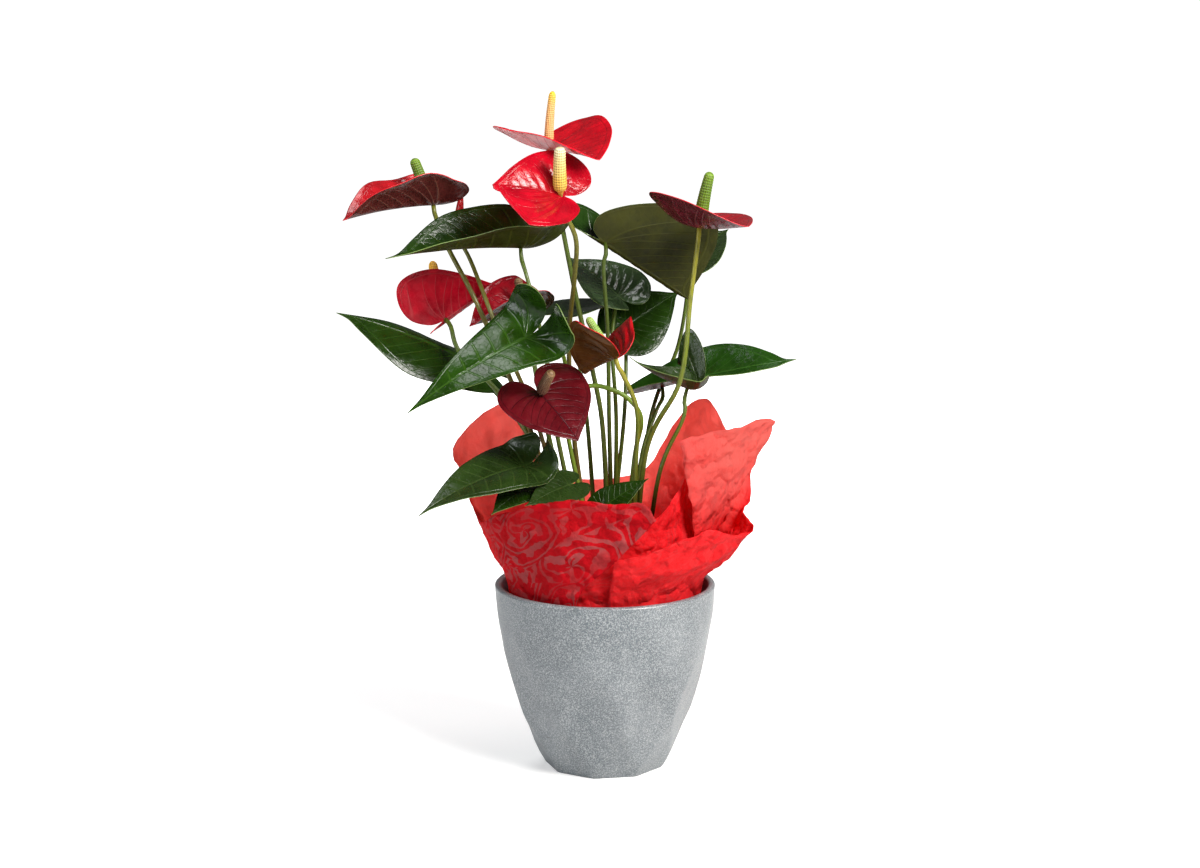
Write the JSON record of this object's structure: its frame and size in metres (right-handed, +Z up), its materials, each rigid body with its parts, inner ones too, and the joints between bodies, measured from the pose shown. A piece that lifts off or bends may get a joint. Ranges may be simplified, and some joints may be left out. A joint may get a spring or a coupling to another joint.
{
  "type": "potted anthurium",
  "caption": "Flowering potted anthurium with glossy heart-shaped leaves and red spathes, wrapped in red paper and standing in a tapered ceramic pot.",
  "frame": {"origin": "centre of the ceramic pot's flat base, on the surface it stands on", "axes": "+Z up along the pot's axis, -Y towards the plant's front, +X to the right seen from the front"},
  "size_m": [0.3213, 0.1757, 0.4721],
  "materials": {
    "grey_ceramic": "speckled satin glaze",
    "nursery_plastic": "matt black",
    "potting_mix": "damp crumbly peat and bark",
    "red_paper": "fibrous, slightly see-through wrapping paper",
    "leaf_green": "living leaf, glossy above",
    "petiole_green": "living stalk, satin",
    "peduncle_green": "living stalk, satin",
    "spathe_red": "living spathe, waxy and glossy",
    "spadix_yellow": "living spadix, fine grained"
  },
  "bodies": {
    "root": {"ceramic_pot": "grey_ceramic", "leaf_back_high": "leaf_green", "leaf_back_right": "leaf_green", "leaf_cupped_right": "leaf_green", "leaf_far_left": "leaf_green", "leaf_far_right": "leaf_green", "leaf_front_left": "leaf_green", "leaf_inner_front": "leaf_green", "leaf_inner_left": "leaf_green", "leaf_inner_right": "leaf_green", "leaf_low_left": "leaf_green", "leaf_mid_back": "leaf_green", "leaf_mid_right": "leaf_green", "leaf_upper_left": "leaf_green", "leaf_upper_right": "leaf_green", "nursery_pot": "nursery_plastic", "paper_wrap_front": "red_paper", "paper_wrap_main": "red_paper", "peduncle_bud": "peduncle_green", "peduncle_centre": "peduncle_green", "peduncle_low_front": "peduncle_green", "peduncle_mid_left": "peduncle_green", "peduncle_mid_right": "peduncle_green", "peduncle_right": "peduncle_green", "peduncle_top_back": "peduncle_green", "peduncle_top_front": "peduncle_green", "peduncle_upper_left": "peduncle_green", "petiole_back_high": "petiole_green", "petiole_back_right": "petiole_green", "petiole_cupped_right": "petiole_green", "petiole_far_left": "petiole_green", "petiole_far_right": "petiole_green", "petiole_front_left": "petiole_green", "petiole_inner_front": "petiole_green", "petiole_inner_left": "petiole_green", "petiole_inner_right": "petiole_green", "petiole_low_left": "petiole_green", "petiole_mid_back": "petiole_green", "petiole_mid_right": "petiole_green", "petiole_upper_left": "petiole_green", "petiole_upper_right": "petiole_green", "potting_mix": "potting_mix", "spadix_centre": "spadix_yellow", "spadix_low_front": "spadix_yellow", "spadix_mid_left": "spadix_yellow", "spadix_mid_right": "spadix_yellow", "spadix_right": "spadix_yellow", "spadix_top_back": "spadix_yellow", "spadix_top_front": "spadix_yellow", "spadix_upper_left": "spadix_yellow", "spathe_bud": "spathe_red", "spathe_centre": "spathe_red", "spathe_low_front": "spathe_red", "spathe_mid_left": "spathe_red", "spathe_mid_right": "spathe_red", "spathe_right": "spathe_red", "spathe_top_back": "spathe_red", "spathe_top_front": "spathe_red", "spathe_upper_left": "spathe_red"}
  },
  "joints": []
}
